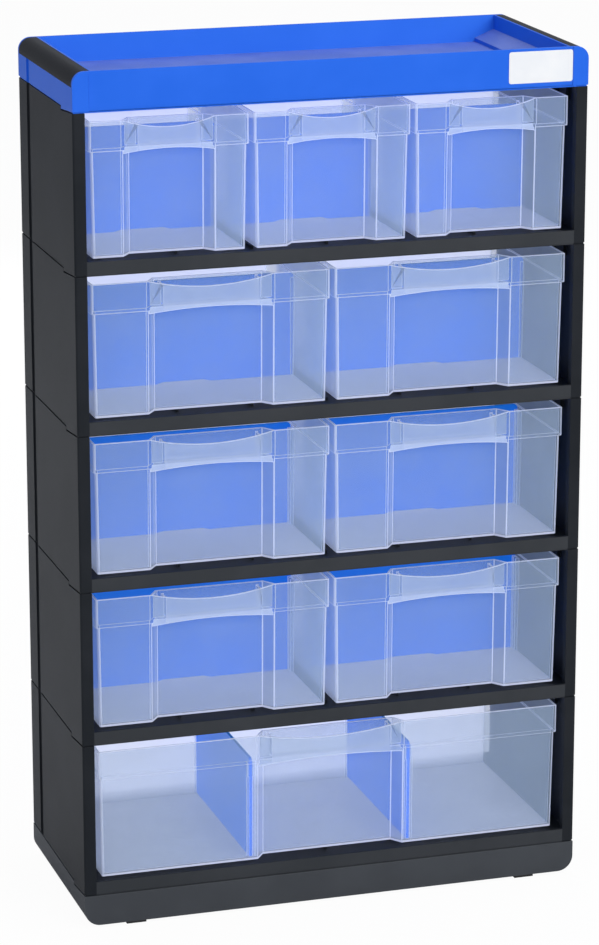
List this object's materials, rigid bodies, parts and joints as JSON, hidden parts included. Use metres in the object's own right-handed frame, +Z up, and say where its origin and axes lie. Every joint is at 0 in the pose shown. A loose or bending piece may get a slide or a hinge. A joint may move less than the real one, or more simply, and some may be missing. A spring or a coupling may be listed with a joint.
{
  "type": "parts bin cabinet",
  "caption": "Free-standing cabinet of stacked frames with frosted pull-out bins, upright dividers, finger recesses and a shallow tray on top.",
  "frame": {"origin": "on the floor under the middle of the cabinet", "axes": "+Z up, -Y towards the fronts of the bins, +X to the right seen from the front"},
  "size_m": [0.32, 0.135, 0.5305],
  "materials": {
    "frame_plastic": "fine grain black moulded plastic",
    "tray_plastic": "fine grain blue moulded plastic",
    "bin_plastic": "frosted translucent moulded plastic",
    "divider_plastic": "smooth blue moulded plastic",
    "label_film": "plain satin film",
    "pad_rubber": "matt rubber"
  },
  "bodies": {
    "cabinet": {"foot_pads": "pad_rubber", "base_plinth": "frame_plastic", "module_frame_1": "frame_plastic", "module_frame_2": "frame_plastic", "module_frame_3": "frame_plastic", "module_frame_4": "frame_plastic", "module_frame_5": "frame_plastic", "top_tray": "tray_plastic", "top_rail_left": "frame_plastic", "top_rail_right": "frame_plastic", "blank_label": "label_film"},
    "bin_1_wide": {"bin_1_wide": "bin_plastic", "divider_1_left": "divider_plastic", "divider_1_right": "divider_plastic"},
    "bin_2_left": {"bin_2_left": "bin_plastic", "divider_2_left": "divider_plastic"},
    "bin_2_right": {"bin_2_right": "bin_plastic", "divider_2_right": "divider_plastic"},
    "bin_3_left": {"bin_3_left": "bin_plastic", "divider_3_left": "divider_plastic"},
    "bin_3_right": {"bin_3_right": "bin_plastic", "divider_3_right": "divider_plastic"},
    "bin_4_left": {"bin_4_left": "bin_plastic", "divider_4_left": "divider_plastic"},
    "bin_4_right": {"bin_4_right": "bin_plastic", "divider_4_right": "divider_plastic"},
    "bin_5_left": {"bin_5_left": "bin_plastic", "divider_5_left": "divider_plastic"},
    "bin_5_middle": {"bin_5_middle": "bin_plastic", "divider_5_middle": "divider_plastic"},
    "bin_5_right": {"bin_5_right": "bin_plastic", "divider_5_right": "divider_plastic"}
  },
  "joints": [
    {"name": "bin_1_wide_slide", "type": "slide", "parent": "cabinet", "child": "bin_1_wide", "axis": [0, -1, 0], "range_m": [0, 0.105]},
    {"name": "bin_2_left_slide", "type": "slide", "parent": "cabinet", "child": "bin_2_left", "axis": [0, -1, 0], "range_m": [0, 0.105]},
    {"name": "bin_2_right_slide", "type": "slide", "parent": "cabinet", "child": "bin_2_right", "axis": [0, -1, 0], "range_m": [0, 0.105]},
    {"name": "bin_3_left_slide", "type": "slide", "parent": "cabinet", "child": "bin_3_left", "axis": [0, -1, 0], "range_m": [0, 0.105]},
    {"name": "bin_3_right_slide", "type": "slide", "parent": "cabinet", "child": "bin_3_right", "axis": [0, -1, 0], "range_m": [0, 0.105]},
    {"name": "bin_4_left_slide", "type": "slide", "parent": "cabinet", "child": "bin_4_left", "axis": [0, -1, 0], "range_m": [0, 0.105]},
    {"name": "bin_4_right_slide", "type": "slide", "parent": "cabinet", "child": "bin_4_right", "axis": [0, -1, 0], "range_m": [0, 0.105]},
    {"name": "bin_5_left_slide", "type": "slide", "parent": "cabinet", "child": "bin_5_left", "axis": [0, -1, 0], "range_m": [0, 0.105]},
    {"name": "bin_5_middle_slide", "type": "slide", "parent": "cabinet", "child": "bin_5_middle", "axis": [0, -1, 0], "range_m": [0, 0.105]},
    {"name": "bin_5_right_slide", "type": "slide", "parent": "cabinet", "child": "bin_5_right", "axis": [0, -1, 0], "range_m": [0, 0.105]}
  ]
}
